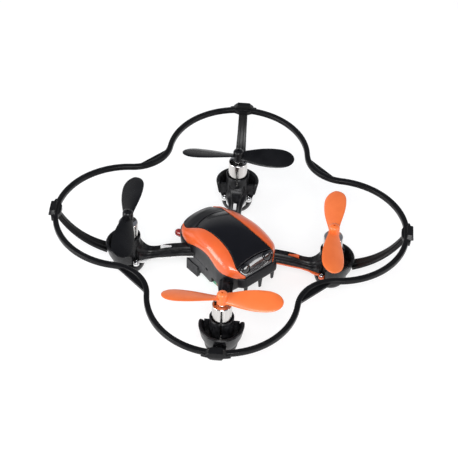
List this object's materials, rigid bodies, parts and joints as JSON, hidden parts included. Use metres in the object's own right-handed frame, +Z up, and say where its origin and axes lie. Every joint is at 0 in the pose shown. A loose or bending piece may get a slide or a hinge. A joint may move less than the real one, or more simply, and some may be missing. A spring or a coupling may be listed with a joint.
{
  "type": "mini palm drone",
  "caption": "Palm-sized quadcopter with a one-piece lobed propeller guard, flared motor pods, two-blade propellers and a low glossy canopy with coloured side panels.",
  "frame": {"origin": "on the ground plane, under the middle of the four motors", "axes": "+Z up, the nose points along -Y, +X is the craft's left side; the rest pose stands on the four motor pods and the belly skids"},
  "size_m": [0.1058, 0.1058, 0.0282],
  "materials": {
    "gloss_black": "gloss",
    "satin_black": "satin",
    "dark_grey": "satin",
    "orange": "gloss",
    "white": "satin",
    "smoked_screen": "gloss",
    "clear_lens": "gloss",
    "red_lens": "gloss",
    "motor_steel": "polished",
    "copper": "satin",
    "screw_steel": "satin",
    "board_green": "satin",
    "battery_green": "gloss"
  },
  "bodies": {
    "airframe": {"lower_shell": "dark_grey", "canopy_shell": "gloss_black", "canopy_top_panel": "gloss_black", "canopy_rear_panel": "dark_grey", "trim_panel_left": "orange", "trim_panel_right": "orange", "windscreen": "smoked_screen", "headlight_left": "clear_lens", "headlight_right": "clear_lens", "nose_bumper": "dark_grey", "tail_light_left": "red_lens", "tail_light_right": "red_lens", "circuit_board": "board_green", "guard_ring": "satin_black", "arm_front_left": "satin_black", "arm_cover_front_left": "orange", "cover_screw_front_left_a": "screw_steel", "cover_screw_front_left_b": "screw_steel", "motor_can_front_left": "motor_steel", "motor_end_cap_front_left": "white", "arm_front_right": "satin_black", "arm_cover_front_right": "orange", "cover_screw_front_right_a": "screw_steel", "cover_screw_front_right_b": "screw_steel", "motor_can_front_right": "motor_steel", "motor_end_cap_front_right": "white", "arm_rear_left": "satin_black", "arm_cover_rear_left": "white", "cover_screw_rear_left_a": "screw_steel", "cover_screw_rear_left_b": "screw_steel", "motor_can_rear_left": "motor_steel", "motor_end_cap_rear_left": "white", "arm_rear_right": "satin_black", "arm_cover_rear_right": "white", "cover_screw_rear_right_a": "screw_steel", "cover_screw_rear_right_b": "screw_steel", "motor_can_rear_right": "motor_steel", "motor_end_cap_rear_right": "white"},
    "battery_pack": {"battery": "battery_green"},
    "rotor_front_left": {"propeller_front_left": "orange", "motor_rotor_front_left": "copper"},
    "rotor_front_right": {"propeller_front_right": "orange", "motor_rotor_front_right": "copper"},
    "rotor_rear_left": {"propeller_rear_left": "gloss_black", "motor_rotor_rear_left": "copper"},
    "rotor_rear_right": {"propeller_rear_right": "gloss_black", "motor_rotor_rear_right": "copper"}
  },
  "joints": [
    {"name": "battery_slide", "type": "slide", "parent": "airframe", "child": "battery_pack", "axis": [0, 1, 0], "range_m": [0, 0.0155]},
    {"name": "spin_front_left", "type": "hinge", "parent": "airframe", "child": "rotor_front_left", "pos_m": [0.02616, -0.02616, 0.0251], "axis": [0, 0, 1], "continuous": true},
    {"name": "spin_front_right", "type": "hinge", "parent": "airframe", "child": "rotor_front_right", "pos_m": [-0.02616, -0.02616, 0.0251], "axis": [0, 0, 1], "continuous": true},
    {"name": "spin_rear_left", "type": "hinge", "parent": "airframe", "child": "rotor_rear_left", "pos_m": [0.02616, 0.02616, 0.0251], "axis": [0, 0, 1], "continuous": true},
    {"name": "spin_rear_right", "type": "hinge", "parent": "airframe", "child": "rotor_rear_right", "pos_m": [-0.02616, 0.02616, 0.0251], "axis": [0, 0, 1], "continuous": true}
  ]
}
